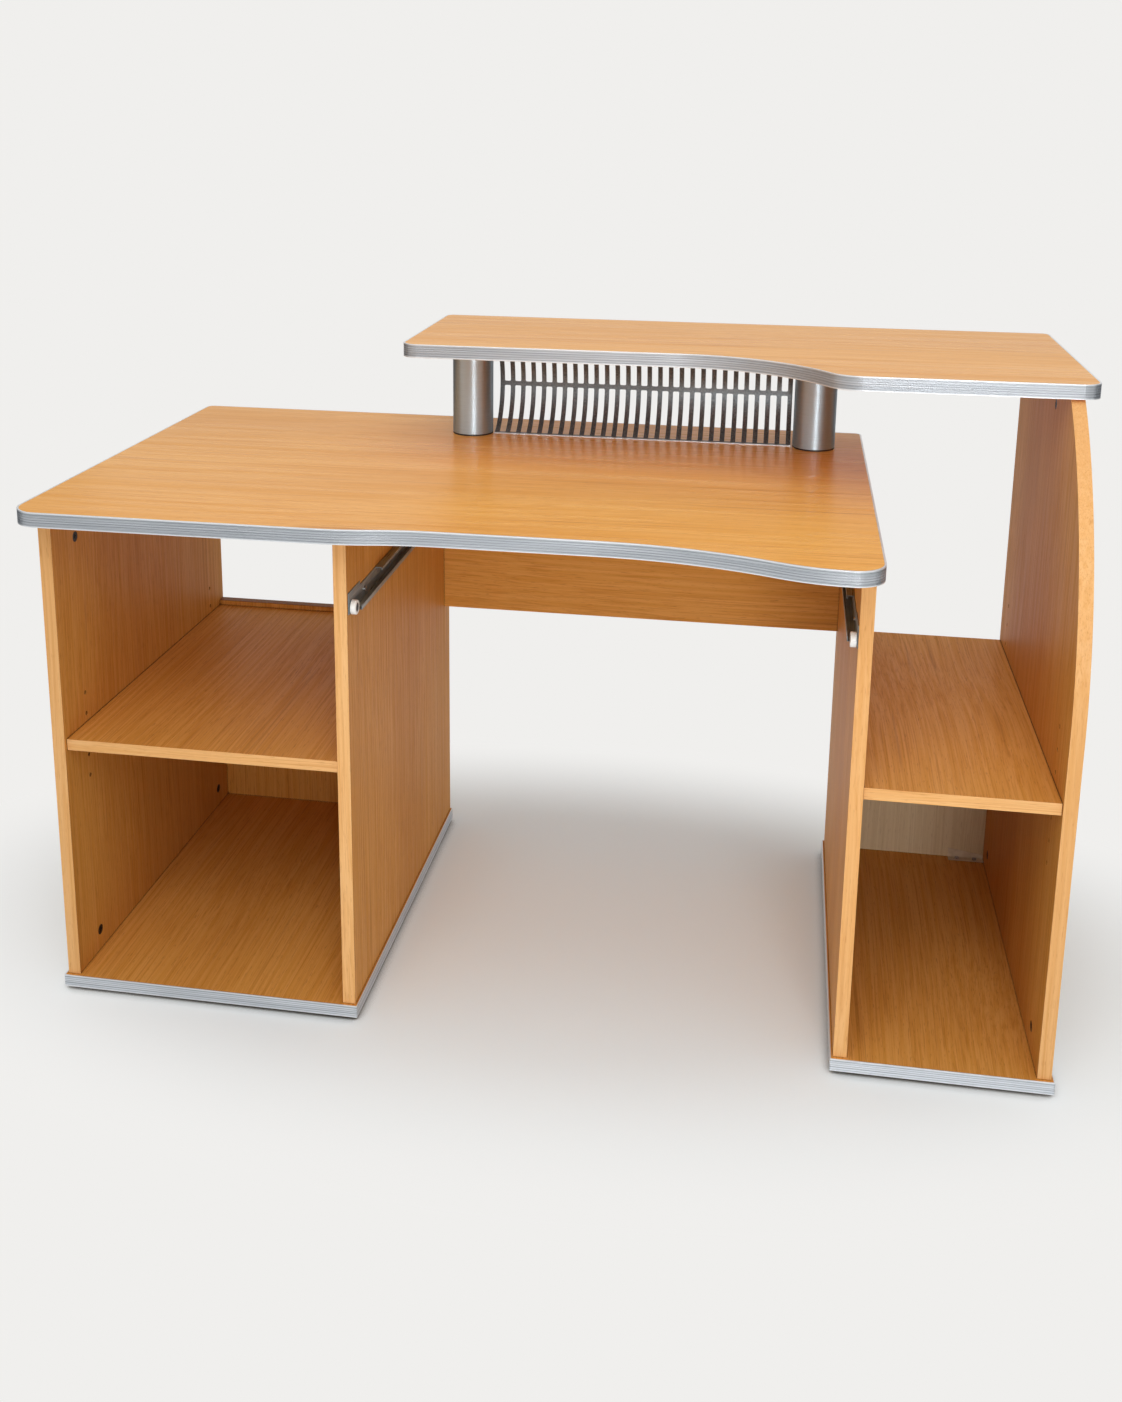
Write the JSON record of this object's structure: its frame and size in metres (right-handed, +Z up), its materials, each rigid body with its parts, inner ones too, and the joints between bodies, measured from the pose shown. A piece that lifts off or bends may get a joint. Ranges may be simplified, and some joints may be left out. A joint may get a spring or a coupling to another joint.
{
  "type": "computer desk",
  "caption": "Curved computer desk on open pedestals, with a raised monitor shelf on posts, a cable grille, loose shelves and roller runners for a keyboard tray.",
  "frame": {"origin": "on the floor, under the middle of the whole desk's length and depth", "axes": "+X along the desk to the right of someone sitting at it, +Y to its back, +Z up"},
  "size_m": [1.4, 0.756, 0.914],
  "materials": {
    "beech_top": "satin beech-effect melamine, grain along the desk",
    "beech_panel": "satin beech-effect melamine, upright grain",
    "beech_cross": "satin beech-effect melamine, grain along the desk",
    "beech_shelf": "satin beech-effect melamine, grain from front to back",
    "grey_board": "grey-brown backing board",
    "beech_edging": "pale beech-print edging strip",
    "silver_band": "silver ribbed edge band",
    "brushed_post": "upright brushed silver",
    "black_plastic": "moulded black",
    "grille_metal": "dark silver paint",
    "zinc_steel": "zinc-plated rolled sheet",
    "white_nylon": "moulded nylon",
    "fastener_steel": "bright zinc",
    "cam_zinc": "dark die-cast zinc",
    "dowel_beech": "plain fluted beech"
  },
  "bodies": {
    "carcass": {"worktop_board": "beech_top", "monitor_shelf_board": "beech_top", "left_outer_panel": "beech_panel", "left_inner_panel": "beech_panel", "right_inner_panel": "beech_panel", "right_tall_panel": "beech_panel", "left_back_panel": "beech_panel", "modesty_panel": "beech_cross", "left_base_board": "beech_shelf", "right_base_board": "beech_shelf", "right_back_panel": "grey_board", "left_outer_panel_edging": "beech_edging", "left_inner_panel_edging": "beech_edging", "right_inner_panel_edging": "beech_edging", "right_tall_panel_edging": "beech_edging", "worktop_edge_band": "silver_band", "monitor_shelf_edge_band": "silver_band", "left_base_edge_band": "silver_band", "right_base_edge_band": "silver_band", "left_post_tube": "brushed_post", "right_post_tube": "brushed_post", "left_post_foot_cap": "black_plastic", "right_post_foot_cap": "black_plastic", "left_post_top_cap": "black_plastic", "right_post_top_cap": "black_plastic", "left_base_glides": "black_plastic", "right_base_glides": "black_plastic", "cable_grille": "grille_metal", "left_runner_channel": "zinc_steel", "right_runner_channel": "zinc_steel", "back_bracket": "zinc_steel", "left_post_rod": "fastener_steel", "right_post_rod": "fastener_steel", "left_post_nut": "fastener_steel", "right_post_nut": "fastener_steel", "grille_screws": "fastener_steel", "runner_screws": "fastener_steel", "bracket_screws": "fastener_steel", "left_roller_pin": "fastener_steel", "right_roller_pin": "fastener_steel", "cam_bolts": "fastener_steel", "left_shelf_pegs": "fastener_steel", "right_shelf_pegs": "fastener_steel", "cam_locks": "cam_zinc", "wood_dowels": "dowel_beech"},
    "left_shelf": {"left_shelf_board": "beech_shelf", "left_shelf_edging": "beech_edging"},
    "right_shelf": {"right_shelf_board": "beech_shelf", "right_shelf_edging": "beech_edging"},
    "left_roller": {"left_runner_roller": "white_nylon"},
    "right_roller": {"right_runner_roller": "white_nylon"}
  },
  "joints": [
    {"name": "left_shelf_slide", "type": "slide", "parent": "carcass", "child": "left_shelf", "axis": [0, -1, 0], "range_m": [0, 0.22]},
    {"name": "right_shelf_slide", "type": "slide", "parent": "carcass", "child": "right_shelf", "axis": [0, -1, 0], "range_m": [0, 0.22]},
    {"name": "left_roller_spin", "type": "hinge", "parent": "carcass", "child": "left_roller", "pos_m": [-0.2585, -0.241, 0.6075], "axis": [1, 0, 0], "continuous": true},
    {"name": "right_roller_spin", "type": "hinge", "parent": "carcass", "child": "right_roller", "pos_m": [0.3925, -0.241, 0.6075], "axis": [1, 0, 0], "continuous": true}
  ]
}
